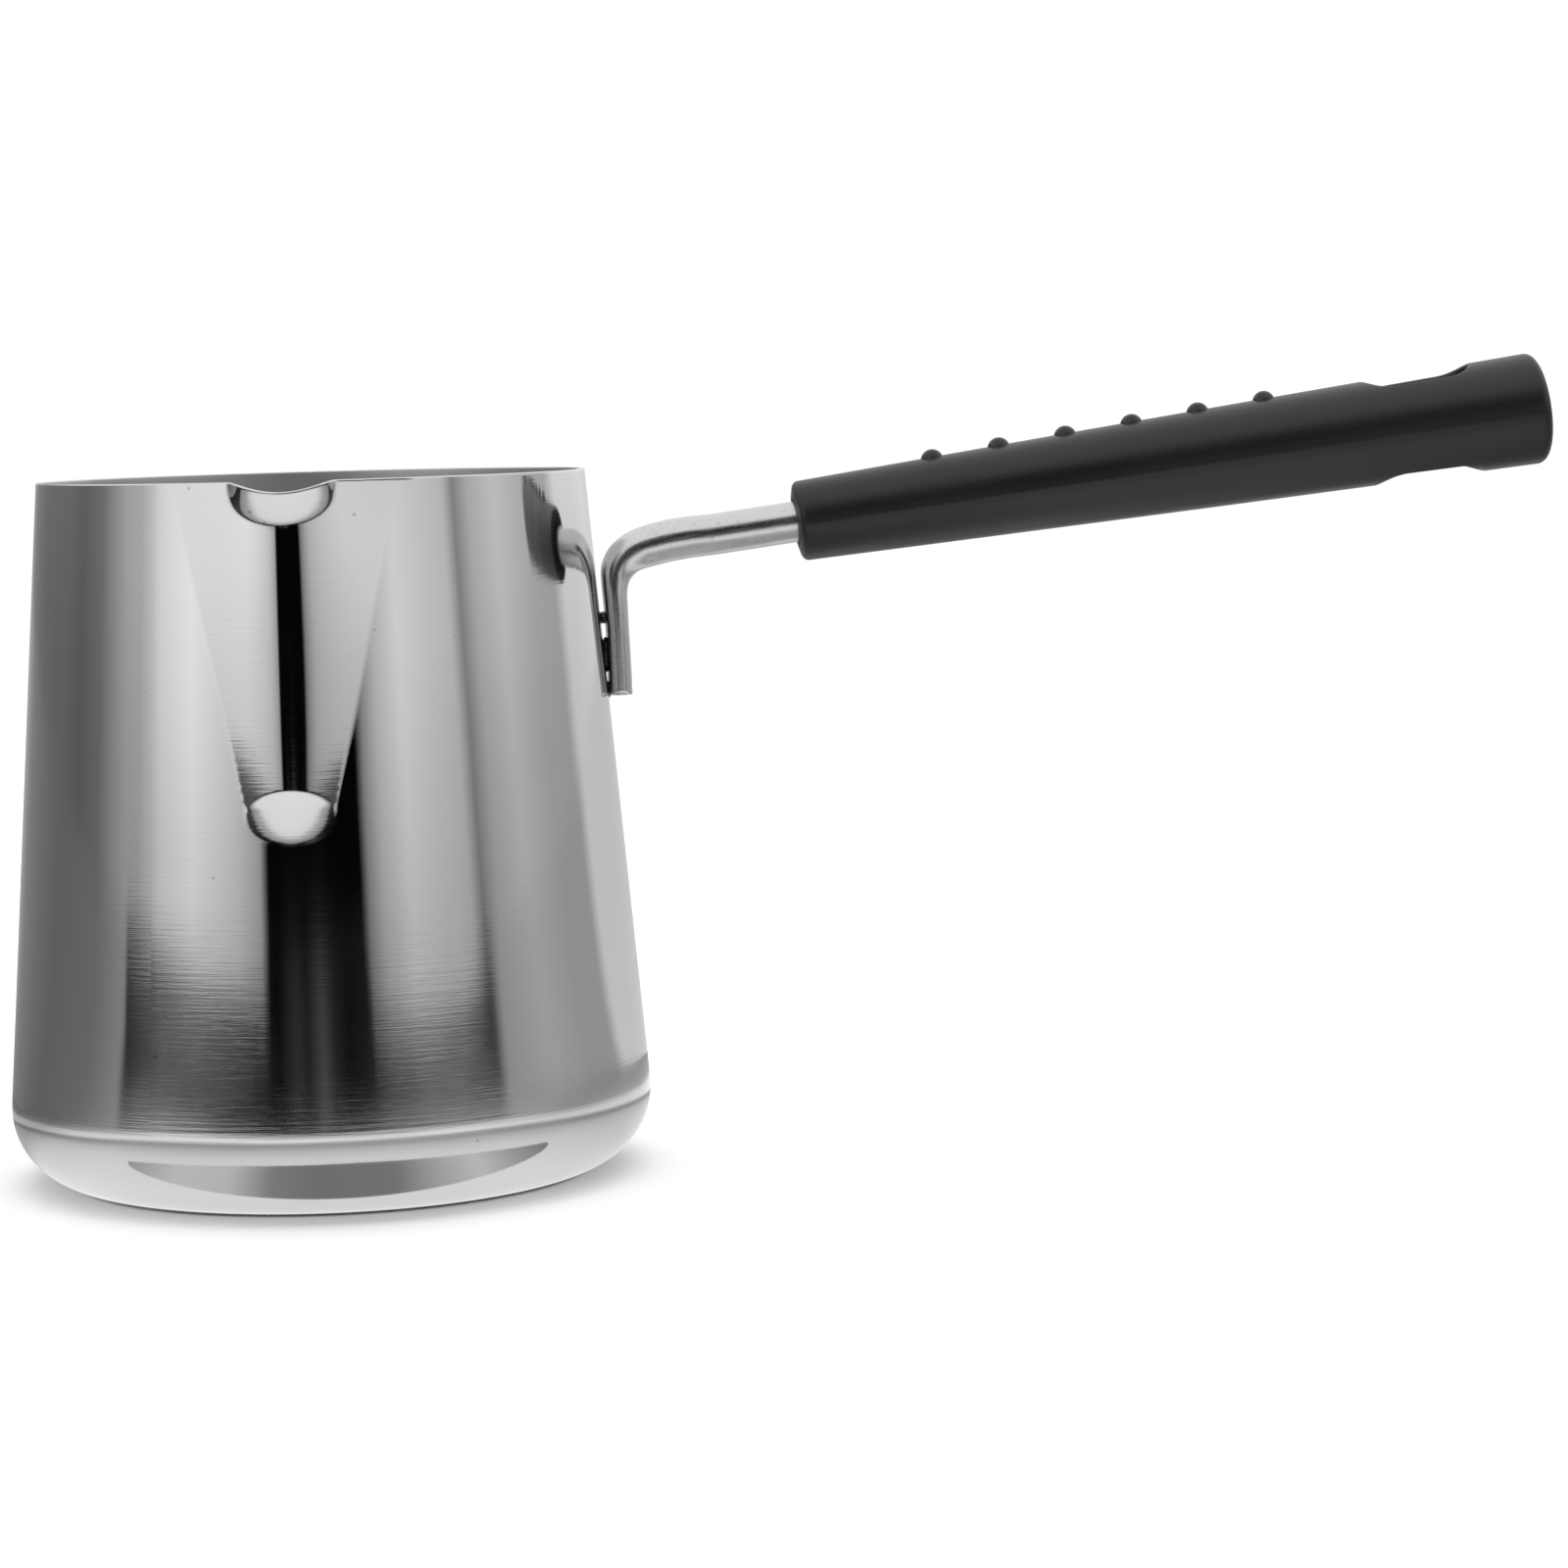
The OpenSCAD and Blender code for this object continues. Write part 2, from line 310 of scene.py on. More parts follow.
def noise(tree, place, scale=1.0, detail=2.0, roughness=0.5):
    """Cloudy noise from 0 to 1."""
    return add(
        tree, "ShaderNodeTexNoise",
        {"Vector": place, "Scale": scale, "Detail": detail, "Roughness": roughness},
    ).outputs[0]


def bump(tree, height, distance, under=None, strength=1.0):
    """A bump of the given depth in metres, laid over another one if it is given."""
    made = add(
        tree, "ShaderNodeBump", {"Height": height, "Strength": strength, "Distance": distance}
    )
    if under is not None:
        tree.links.new(under, made.inputs["Normal"])
    return made.outputs[0]


def spread(tree, value, low, high, bottom, top, kind="LINEAR"):
    """Goes from bottom to top as the value goes from low to high, and stays there."""
    return add(
        tree, "ShaderNodeMapRange",
        {"Value": value, "From Min": low, "From Max": high, "To Min": bottom, "To Max": top},
        interpolation_type=kind,
    ).outputs[0]


def smooth_range(tree, value, low, high, bottom=0.0, top=1.0):
    """A smooth step from bottom to top as the value goes from low to high."""
    return spread(tree, value, low, high, bottom, top, "SMOOTHSTEP")


def glow(tree, output, tone, strength=1.0):
    """Closes a material that only gives off light."""
    close_material(tree, output, add(
        tree, "ShaderNodeEmission", {"Color": tone, "Strength": strength}
    ))


def start_material(name):
    """An empty node material with its output node."""
    made = bpy.data.materials.new(name)
    made.use_nodes = True
    made.node_tree.nodes.clear()
    return made, made.node_tree, add(made.node_tree, "ShaderNodeOutputMaterial")


def close_material(tree, output, shader):
    """Joins the shader to the surface output."""
    tree.links.new(shader.outputs[0], output.inputs["Surface"])


# ---------------------------------------------------------------- materials


def brushed_steel(name, rough_low, rough_high, line_depth):
    """Drawn 304 stainless, brushed round and round with a fine abrasive belt.

    The eye sees a mirror that smears each light up and down but keeps its sides sharp,
    hair-thin lines round the pot where a light ends, and a few specks and rubs. The inside
    is left rougher, so it looks pale and streaked where the mirror would be dark.
    """
    finishes = bpy.context.scene.pot_finishes
    material, tree, output = start_material(name)
    line_cells = (1 / finishes.brush_run, 1 / finishes.brush_line, 1)
    lines = noise(tree, uv_place(tree, line_cells), detail=3.0, roughness=0.65)
    # slow waves left by drawing the wall, about 30 mm long
    waves = noise(tree, uv_place(tree, (30, 40, 1)), detail=1.0, roughness=0.4)
    relief = bump(tree, waves, 55e-6, under=bump(tree, lines, line_depth))
    # specks of dust and pits: one to each 9 mm cell of space, less than 1 mm across
    object_at = object_place(tree)
    cells = add(
        tree, "ShaderNodeTexVoronoi", {"Vector": object_at, "Scale": 1 / 0.009}
    ).outputs["Distance"]
    specks = ramp(tree, cells, ((0.0, 0.5), (0.025, 0.75), (0.045, 1.0)))
    rubs = noise(tree, object_at, 1 / 0.03, 4.0)
    rubbed = spread(tree, rubs, 0.35, 0.75, rough_low, rough_high)
    tint = mixed(tree, (*finishes.steel, 1), specks)
    tangent = add(tree, "ShaderNodeTangent", direction_type="UV_MAP", uv_map="UVMap").outputs[0]
    shader = add(
        tree, "ShaderNodeBsdfPrincipled",
        {"Base Color": tint, "Metallic": 1.0, "Roughness": rubbed, "Normal": relief,
         "Anisotropic": 0.8, "Anisotropic Rotation": 0.25, "Tangent": tangent},
    )
    close_material(tree, output, shader)
    return material


def mixed(tree, colour_value, factor_colour):
    """The colour, fixed or from a pattern, multiplied by a grey pattern."""
    node = add(tree, "ShaderNodeMix", data_type="RGBA", blend_type="MULTIPLY")
    node.inputs["Factor"].default_value = 1.0
    colour_in = [s for s in node.inputs if s.type == "RGBA"]
    if isinstance(colour_value, bpy.types.NodeSocket):
        tree.links.new(colour_value, colour_in[0])
    else:
        colour_in[0].default_value = colour_value
    tree.links.new(factor_colour, colour_in[1])
    return [s for s in node.outputs if s.type == "RGBA"][0]


def drawn_steel():
    """Welded 304 tube, drawn lengthwise and left dull: fine scores run along it."""
    finishes = bpy.context.scene.pot_finishes
    material, tree, output = start_material("drawn_stainless_tube")
    score_cells = (1 / 0.0004, 1 / 0.006, 1)
    scores = noise(tree, uv_place(tree, score_cells), detail=3.0, roughness=0.6)
    pits = noise(tree, object_place(tree), 1 / 0.0012)
    relief = bump(tree, pits, 4e-6, under=bump(tree, scores, 6e-6))
    tint = mixed(tree, (*finishes.tube, 1), ramp(tree, pits, ((0.3, 0.86), (0.42, 1.0))))
    rough = spread(tree, scores, 0.3, 0.7, 0.2, 0.3)
    shader = add(
        tree, "ShaderNodeBsdfPrincipled",
        {"Base Color": tint, "Metallic": 1.0, "Roughness": rough, "Normal": relief},
    )
    close_material(tree, output, shader)
    return material


def weld_steel():
    """Stainless weld bead, heat-stained and rippled: dull grey-brown metal."""
    finishes = bpy.context.scene.pot_finishes
    material, tree, output = start_material("heat_stained_weld")
    # ripples up the bead, a fraction of a millimetre apart
    ripples = add(
        tree, "ShaderNodeTexWave",
        {"Vector": object_place(tree), "Scale": 1 / 0.0005 / 6.28, "Distortion": 3.0,
         "Detail": 2.0},
        bands_direction="Z",
    ).outputs["Fac"]
    relief = bump(tree, ripples, 8e-5, strength=0.6)
    stain = ramp(tree, ripples, ((0.0, 0.55), (1.0, 1.0)))
    shader = add(
        tree, "ShaderNodeBsdfPrincipled",
        {"Base Color": mixed(tree, (*finishes.weld, 1), stain), "Metallic": 1.0,
         "Roughness": 0.42, "Normal": relief},
    )
    close_material(tree, output, shader)
    return material


def moulded_black(name, grain_depth, rough_low, rough_high):
    """Injection-moulded black polypropylene.

    Spark-eroded tool steel leaves a fine even grain that sparkles under a soft light;
    the dots come out of polished pockets, so they are left almost smooth.
    """
    finishes = bpy.context.scene.pot_finishes
    material, tree, output = start_material(name)
    object_at = object_place(tree)
    grain = noise(tree, object_at, 1 / finishes.grain, roughness=0.6)
    # broad patches of duller and shinier plastic, about 20 mm wide
    flow = noise(tree, object_at, 1 / 0.02)
    rough = spread(tree, flow, 0.3, 0.7, rough_low, rough_high)
    tint = mixed(tree, (*finishes.plastic, 1), ramp(tree, grain, ((0.35, 0.7), (0.65, 1.0))))
    shader = add(
        tree, "ShaderNodeBsdfPrincipled",
        {"Base Color": tint, "Roughness": rough, "IOR": 1.49,
         "Normal": bump(tree, grain, grain_depth)},
    )
    close_material(tree, output, shader)
    return material


# ---------------------------------------------------------------- drawn pot


# Half of the angle between the corners of the arched crease at the spout's foot
ARCH_HALF = math.radians(8.4)
# Shares of the foot's fade that lie above and below the crease's corners
FADE_ABOVE, FADE_BELOW = 0.52, 0.48


class PotShape:
    """Radii and heights of the pot's outside skin, as functions of turn and height."""

    def __init__(self, sizes):
        self.s = sizes
        self.lean = (sizes.foot_radius - sizes.rim_radius) / sizes.height
        self.tip = math.atan(self.lean)
        self.corner_top = sizes.corner * (1 + math.sin(self.tip))
        self.corner_x = self.wall(self.corner_top) - sizes.corner * math.cos(self.tip)

    def wall(self, z):
        """Radius of the plain wall: a cone that narrows by lean for each unit of height."""
        return self.s.rim_radius + self.lean * (self.s.height - z)

    def half(self, z):
        """Half of the spout's angle: a straight line up to spout_half at the rim.

        Below the crease it goes on down to the corners of the arch, and stops there.
        """
        s = self.s
        share_up = (z - s.spout_foot) / (s.height - s.spout_foot)
        straight = s.foot_half + (s.spout_half - s.foot_half) * share_up
        return np.maximum(straight, ARCH_HALF)

    def ridge(self, z):
        """Radius of the ridge line, straight from its foot to the rim."""
        s = self.s
        foot = self.wall(s.spout_foot) + s.ridge_out_foot
        rim = s.rim_radius + s.ridge_out_rim
        return foot + (rim - foot) * (z - s.spout_foot) / (s.height - s.spout_foot)

    def spout(self, turn, wall, half, z):
        """Radius over the spout: a hyperbola through both side lines.

        With w across and p outwards, p + k sqrt(w^2 + crown^2) = reach. It passes through
        the ridge at w = 0 and through the wall's circle at the half angle, where it meets
        the wall in a crease. The ray at a turn meets it where a quadratic in radius is 0.
        """
        crown = self.s.crown
        ridge = self.ridge(z)
        k = (ridge - wall * np.cos(half)) / (np.hypot(wall * np.sin(half), crown) - crown)
        reach = ridge + k * crown
        a = np.minimum(np.abs(turn), half)
        bend = np.cos(a)**2 - (k * np.sin(a))**2
        root = (reach * np.cos(a))**2 - bend * (reach**2 - (k * crown)**2)
        return np.where(
            np.abs(turn) < half, (reach * np.cos(a) - np.sqrt(np.maximum(root, 0))) / bend, wall
        )

    def lip(self, turn):
        """Share of the lip at a turn: (1 - (turn / half)^2)^1.5, and 0 outside it."""
        return np.maximum(0, 1 - (turn / self.s.lip_half)**2)**1.5

    def rim(self, turn):
        """Height of the rim, dipped at the lip."""
        return self.s.height - self.s.lip_dip * self.lip(turn)

    def fade(self, turn, z):
        """1 above an arched crease at the spout's foot, then (distance)^1.3 down to 0."""
        s = self.s
        arch = np.sqrt(np.maximum(0.002, 1 - (turn / ARCH_HALF)**2))
        middle = s.spout_foot - FADE_ABOVE * s.foot_fade
        top = middle + FADE_ABOVE * s.foot_fade * arch
        bottom = middle - FADE_BELOW * s.foot_fade * arch
        return np.clip((z - bottom) / (top - bottom), 0, 1)**1.3

    def radius(self, turn, z):
        """Outside radius at a turn from the spout's middle and a height."""
        wall = self.wall(z)
        out = (self.spout(turn, wall, self.half(z), z) - wall) * self.fade(turn, z)
        # the lip's flare starts on an arch and is 0 at its two corners
        inside = np.maximum(0, 1 - (turn / self.s.lip_half)**2)
        band = self.s.lip_band * (0.25 + 0.75 * np.sqrt(inside))
        up = np.maximum(0, z - self.s.height + band) / band
        return wall + out + self.s.lip_flare * up**1.2 * inside**0.75


def pot_heights(shape):
    """Heights up the wall to the lip band, close together where the spout's foot is."""
    s = shape.s
    foot_low = s.spout_foot - 1.2 * s.foot_fade
    foot_high = s.spout_foot + 0.2 * s.foot_fade
    band = s.height - s.lip_band
    return np.concatenate([
        np.linspace(shape.corner_top, foot_low, 44)[1:-1],
        np.linspace(foot_low, foot_high, 36)[:-1],
        np.linspace(foot_high, band, 52),
    ])


def pot_profile(shape, turns):
    """Rings of the whole skin as (radius, height) grids, outside then inside.

    Outside: the dished base, the corner arc from straight down to the wall's lean, the
    wall, and the lip band as equal shares up to the rim. The cut edge is two quarter
    rounds. Inside: the same skin drawn in by the sheet's thickness.
    """
    s = shape.s
    t = turns[None, :]
    flat = np.ones_like(t)
    rings = []

    def corner_rows(inset, steps):
        a = np.linspace(-math.pi / 2, shape.tip, steps)[:, None]
        r = s.corner - inset
        rings.append(((shape.corner_x + r * np.cos(a)) * flat,
                      (s.corner + r * np.sin(a)) * flat))

    def base_rows(lift, steps):
        r = np.linspace(0, 1, steps)[1:-1, None] * shape.corner_x
        dish = s.base_dish * ease((shape.corner_x - r) / (0.18 * shape.corner_x))
        rings.append((r * flat, (dish + lift) * flat))

    def wall_rows(z, inset):
        z = z[:, None] * flat
        rings.append((shape.radius(t, z) - inset, z))

    def band_rows(inset, steps, top_gap):
        low = s.height - s.lip_band
        z = low + np.linspace(0, 1, steps)[1:, None] * (shape.rim(t) - top_gap - low)
        rings.append((shape.radius(t, z) - inset, z))

    inset = s.sheet / math.cos(shape.tip)
    edge = 0.32 * s.sheet
    base_rows(0, 14)
    corner_rows(0, 26)
    z = pot_heights(shape)
    wall_rows(z, 0)
    band_rows(0, 20, edge)
    rim_z = shape.rim(t)
    rim_r = shape.radius(t, rim_z - edge)
    a = np.radians([18, 45, 72, 90])[:, None]
    rings.append((rim_r - edge * (1 - np.cos(a)), rim_z - edge * (1 - np.sin(a))))
    a = a[::-1]
    rings.append((rim_r - inset + edge * (1 - np.cos(a)), rim_z - edge * (1 - np.sin(a))))
    outside_rows = sum(len(r) for r, _ in rings)
    first = len(rings)
    band_rows(inset, 12, edge)
    wall_rows(z[::3], inset)
    corner_rows(s.sheet, 12)
    base_rows(s.sheet, 8)
    inner = rings[first:]
    rings[first:] = [(r[::-1], h[::-1]) for r, h in inner]
    radius = np.vstack([r for r, _ in rings])
    height = np.vstack([h for _, h in rings])
    return radius, height, outside_rows


class MESH_OT_melting_pot(bpy.types.Operator):
    """Builds the drawn pot with its pinched spout"""

    bl_idname = "mesh.melting_pot_body"
    bl_label = "Drawn pot"

    def execute(self, context):
        s = context.scene.pot_sizes
        shape = PotShape(s)
        fine = np.radians(np.arange(-27, 27, 0.45))
        coarse = np.radians(np.arange(27, 333, 2.0))
        turns = np.append(fine, coarse)
        wrapped = np.where(turns > math.pi, turns - 2 * math.pi, turns)
        radius, height, outside_rows = pot_profile(shape, wrapped)
        bearing = turns + s.spout_turn
        rings = np.stack([radius * np.cos(bearing), radius * np.sin(bearing), height], -1)
        far = len(turns) // 2 + len(fine) // 2
        v = along(np.stack([radius[:, far], height[:, far]], -1))
        u = np.append(turns, turns[0] + 2 * math.pi) * s.rim_radius
        points, faces, uv = skin(
            rings, u, v, start=(0, 0, s.base_dish), end=(0, 0, s.base_dish + s.sheet)
        )
        mirror = brushed_steel(
            "brushed_stainless", rough_low=0.045, rough_high=0.075, line_depth=4.5e-6
        )
        pot = put_mesh("drawn_pot", points, faces, uv, mirror)
        pot.data.materials.append(brushed_steel(
            "satin_stainless_inside", rough_low=0.45, rough_high=0.6, line_depth=20e-6
        ))
        inside = np.zeros(len(pot.data.polygons), dtype=np.int32)
        inside[(outside_rows - 1) * len(turns):] = 1
        pot.data.polygons.foreach_set("material_index", inside)
        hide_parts("pot_body")
        return {"FINISHED"}


# ---------------------------------------------------------------- handle tube and welds


# Pairs of points down the tube's two edges in the plane of the handle, in millimetres:
# the edge on the outside of the bend, then the edge on its pinched inside.
TUBE_EDGES = (
    (52.10, 84.6, 56.25, 84.6),
    (52.10, 90.0, 56.15, 90.0),
    (52.00, 96.0, 55.95, 96.0),
    (51.70, 101.0, 55.85, 101.0),
    (51.45, 104.4, 55.90, 103.5),
    (51.45, 107.6, 56.50, 105.2),
    (52.55, 110.4, 57.30, 106.1),
    (54.35, 112.4, 58.10, 106.7),
    (56.90, 114.0, 59.20, 107.1),
    (59.80, 115.0, 60.90, 107.5),
    (63.40, 115.8, 64.00, 108.2),
    (67.00, 116.3, 67.80, 108.8),
)


def tube_section(edges, inset, points_round, girth):
    """Rings of a tube pressed to the distance t between its two edges.

    Each ring is two half circles of radius t / 2, moved apart by pi (d - t) / 4 so that
    the girth of the round tube d is kept.
    """
    outer, inner = edges[:, None, :2], edges[:, None, 2:]
    middle, thick = (outer + inner) / 2, np.linalg.norm(outer - inner, axis=2)
    across = (inner - outer) / thick[..., None]
    a = (2 * np.pi * (np.arange(points_round) + 0.5) / points_round)[None, :]
    r = thick / 2 - inset
    side = np.pi * np.maximum(girth - thick, 0) / 4
    place = middle + (r * np.cos(a))[..., None] * across
    y = r * np.sin(a) + side * np.sign(np.sin(a))
    return np.stack([place[..., 0], y, place[..., 1]], -1)


def tube_run(h):
    """Edge pairs of the whole tube in metres: the named pairs, then the straight arm."""
    bent = smooth_run(np.array(TUBE_EDGES), 6) * MM
    rise = h.rise
    ahead = np.array([math.cos(rise), math.sin(rise)])
    side = np.array([-ahead[1], ahead[0]]) * h.tube / 2
    # the arm's centre line starts this far before the grip's near end
    bare = 15.6 * MM
    start = grip_start() - bare * ahead
    reach = np.array([0, 4, 8, 12, 15.6, 30, 50, 70, 87.6])[:, None] * MM
    centre = start + reach * ahead
    arm = np.hstack([centre + side, centre - side])
    return np.vstack([bent, arm])


def grip_start():
    """Where the grip's axis meets its near end: distance from the pot's axis and height."""
    return np.array([86.893, 114.763]) * MM


class MESH_OT_handle_tube(bpy.types.Operator):
    """Builds the bent tube, pressed flat down its leg, with its bore and cut ends"""

    bl_idname = "mesh.melting_pot_tube"
    bl_label = "Handle tube"

    def execute(self, context):
        h = context.scene.handle_sizes
        edges = tube_run(h)
        trim = 0.2 * MM
        outside = tube_section(edges, 0.0, 72, h.tube)
        bore = tube_section(edges, h.tube_wall, 72, h.tube)[::-1]
        # the sawn ends are broken by a small bevel
        first = tube_section(edges[:1], trim, 72, h.tube)
        last = tube_section(edges[-1:], trim, 72, h.tube)
        outside[0, :, 2] += trim
        rings = np.vstack([first, outside, last, bore])
        v = along(rings[:, 0])
        u = np.linspace(0, math.pi * h.tube, 73)
        points, faces, uv = skin(rings, u, v, loop=True)
        tube = put_mesh("bent_tube", points, faces, uv, drawn_steel())
        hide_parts("handle_tube")
        return {"FINISHED"}


def bead_points(low, high, wide, deep, seed):
    """A puddled bead: an ellipsoid whose radius swells and shrinks by a few percent."""
    rows, cols = 24, 36
    up = np.linspace(-math.pi / 2, math.pi / 2, rows)[1:-1, None]
    a = (2 * np.pi * np.arange(cols) / cols)[None, :]
    swell = 1 + 0.05 * np.sin(3 * a + seed) * np.cos(up) + 0.04 * np.sin(9 * up + 2 * seed)
    x = deep / 2 * np.cos(up) * np.cos(a) * swell
    y = wide / 2 * np.cos(up) * np.sin(a) * swell
    z = (high - low) / 2 * np.sin(up) * np.ones_like(a)
    return np.stack([x, y, z + (high + low) / 2], -1)


class MESH_OT_weld_beads(bpy.types.Operator):
    """Builds the three weld beads between the wall and the leg"""

    bl_idname = "mesh.melting_pot_welds"
    bl_label = "Weld beads"

    def execute(self, context):
        s, h = context.scene.pot_sizes, context.scene.handle_sizes
        shape = PotShape(s)
        metal = weld_steel()
        leg_face = 52.1 * MM
        for seed, name in enumerate(("weld_upper", "weld_middle", "weld_lower")):
            low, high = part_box(name)
            middle = (low[2] + high[2]) / 2
            gap = leg_face - shape.wall(middle)
            centre_x = leg_face - gap / 2
            rings = bead_points(low[2], high[2], high[1] - low[1], gap + 1.0 * MM, seed)
            rings[..., 0] += centre_x
            u = np.linspace(0, 0.01, rings.shape[1] + 1)
            v = np.linspace(0, high[2] - low[2], rings.shape[0])
            points, faces, uv = skin(
                rings, u, v, start=(centre_x, 0, low[2]), end=(centre_x, 0, high[2])
            )
            bead = put_mesh(name.replace("weld_", "bead_"), points, faces, uv, metal)
            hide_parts(name)
        return {"FINISHED"}


# ---------------------------------------------------------------- grip


class GripShape:
    """The grip in its own frame: s along the axis, x up, y across."""

    def __init__(self, sizes):
        self.h = sizes
        # the bore goes on a little way past the tube's end
        self.bore_end = sizes.tube_in_grip + 2 * MM

    def radius(self, s):
        """Side radius: a straight taper from the near to the far radius, barely barrelled."""
        h = self.h
        share_along = np.clip(
            (s - h.near_round) / (h.grip_length - h.near_round - h.far_round), 0, 1
        )
        barrel = 0.12 * MM * np.sin(np.pi * share_along)
        return h.grip_near + (h.grip_far - h.grip_near) * share_along + barrel

    def profile(self):
        """(s, r) points: up the bore, over the mouth and near face, along, round the far end."""
        h = self.h
        bore = h.tube / 2 + 0.02 * MM
        mouth = bore + 0.9 * MM
        near_dome, far_dome = 0.25 * MM, 0.4 * MM
        near, far = h.near_round, h.far_round
        a = np.linspace(0, math.pi / 2, 8)
        ring_r = h.grip_near - near
        face = np.linspace(mouth + 0.2 * MM, ring_r, 5)[:-1]
        dome = near_dome * (1 - ((face - mouth) / (ring_r - mouth))**2)
        end_r = h.grip_far - far
        cap = np.linspace(end_r, 0, 9)[1:-1]
        slope = self.radius(np.array([near, h.grip_length - far]))
        steps = np.linspace(near, h.grip_length - far, 100)
        rows = [
            (self.bore_end, bore * 0.5), (self.bore_end, bore),
            (h.tube_in_grip * 0.6, bore), (6 * MM, bore), (2 * MM, bore), (0.9 * MM, bore),
            (0.5 * MM, bore + 0.4 * MM), (0.12 * MM, mouth - 0.06 * MM),
        ]
        rows += [(near_dome - d, r) for r, d in zip(face, dome)]
        rows += list(zip(near_dome + (near - near_dome) * (1 - np.cos(a)),
                         ring_r + (slope[0] - ring_r) * np.sin(a)))
        rows += list(zip(steps[1:-1], self.radius(steps[1:-1])))
        rows += list(zip(h.grip_length - far + (far - far_dome) * np.sin(a),
                         end_r + (slope[1] - end_r) * np.cos(a)))
        rows += [(h.grip_length - far_dome * (r / end_r)**2, r) for r in cap]
        return np.array(rows)

    def place(self, s, x, y):
        """From the grip's own frame to the object's."""
        h = self.h
        c, k = math.cos(h.rise), math.sin(h.rise)
        start = grip_start()
        return np.stack([start[0] + s * c - x * k, y, start[1] + s * k + x * c], -1)


def slot_patch(shape, window, rounds):
    """The slot's rolled edge and walls, sewn to the window left in the side's grid.

    window is the closed run of (s, y) points round the opening, top side. Each is carried
    in a straight line to the slot's outline (two half circles and two straights), rolled
    over by a quarter circle of the edge radius, and dropped straight to the middle plane.
    """
    h = shape.h
    half = (h.slot_length - h.slot_width) / 2
    r = h.slot_width / 2
    e = h.slot_edge
    rel = window - np.array([h.slot_at, 0])
    core = np.clip(rel[:, :1], -half, half)
    away = np.hstack([rel[:, :1] - core, rel[:, 1:]])
    away /= np.linalg.norm(away, axis=1)[:, None]
    hub = np.hstack([h.slot_at + core, np.zeros_like(core)])
    rim = hub + away * (r + e)
    rows_s, rows_y, rows_x = [], [], []

    def surface(sy):
        return np.sqrt(np.maximum(shape.radius(sy[:, 0])**2 - sy[:, 1]**2, 0))

    for t in np.linspace(0, 1, rounds + 1)[1:]:
        sy = window + (rim - window) * t
        rows_s.append(sy[:, 0])
        rows_y.append(sy[:, 1])
        rows_x.append(surface(sy))
    level = surface(rim)
    for a in np.radians([15, 30, 45, 60, 75, 90]):
        sy = hub + away * (r + e * (1 - math.sin(a)))
        rows_s.append(sy[:, 0])
        rows_y.append(sy[:, 1])
        rows_x.append(np.minimum(surface(sy), level) - e * (1 - math.cos(a)))
    wall_top = rows_x[-1]
    for t in (0.85, 0.6, 0.3, 0.0):
        rows_s.append(rows_s[-1])
        rows_y.append(rows_y[-1])
        rows_x.append(wall_top * t)
    return np.stack([np.array(rows_s), np.array(rows_x), np.array(rows_y)], -1)


